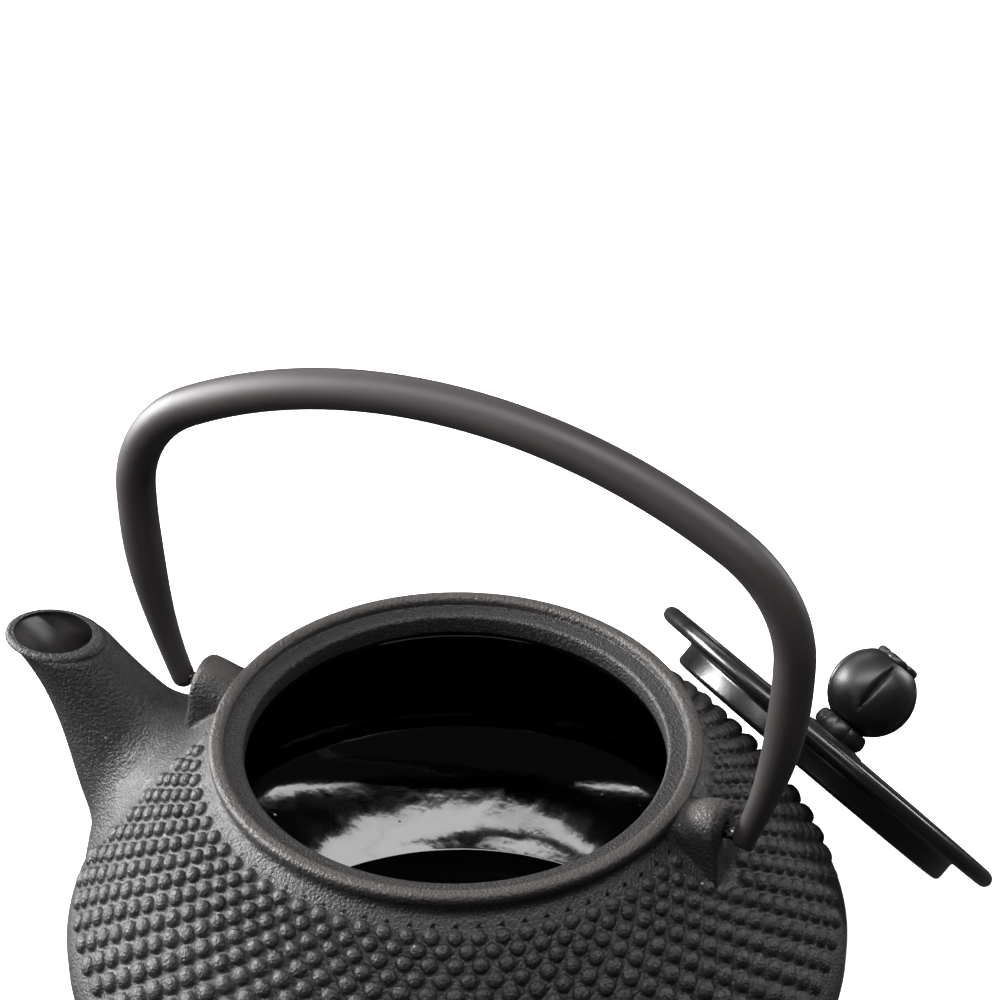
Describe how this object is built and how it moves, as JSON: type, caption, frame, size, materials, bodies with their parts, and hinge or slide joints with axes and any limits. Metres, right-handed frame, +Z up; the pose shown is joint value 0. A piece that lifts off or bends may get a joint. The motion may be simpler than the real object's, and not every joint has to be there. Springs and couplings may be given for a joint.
{
  "type": "teapot",
  "caption": "Squat cast-iron teapot standing open: hobnail pot with spout and ears, hinged steel bail, and a loose lid with bud knob leaning on its shoulder.",
  "frame": {"origin": "middle of the pot's flat foot, on the pot's axis and on the surface it stands on", "axes": "+Z up along the pot's axis, -X towards the spout, so the bail's pins lie along X; the lid leans on the +X +Y side"},
  "size_m": [0.2005, 0.1963, 0.1637],
  "materials": {
    "cast_iron": "matt warm grey-black, sand-cast grain",
    "black_steel": "satin black",
    "lid_enamel": "smooth satin black",
    "knob_black": "polished black",
    "screw_steel": "plain steel"
  },
  "bodies": {
    "pot": {"pot_body": "cast_iron", "spout": "cast_iron", "ear_front": "cast_iron", "ear_rear": "cast_iron"},
    "bail": {"bail": "black_steel", "bail_pin_front": "black_steel", "bail_pin_rear": "black_steel"},
    "lid": {"lid": "lid_enamel", "knob_base": "knob_black", "knob_collar": "knob_black", "knob_bud": "knob_black", "knob_cap": "knob_black", "lid_screw": "screw_steel", "lid_washer": "screw_steel"}
  },
  "joints": [
    {"name": "bail_swing", "type": "hinge", "parent": "pot", "child": "bail", "pos_m": [0, 0, 0.0753], "axis": [1, 0, 0], "range_deg": [-80, 107]},
    {"name": "lid_draw", "type": "slide", "parent": "pot", "child": "lid", "axis": [0.5548, 0.832, 0], "range_m": [0, 0.09]}
  ]
}
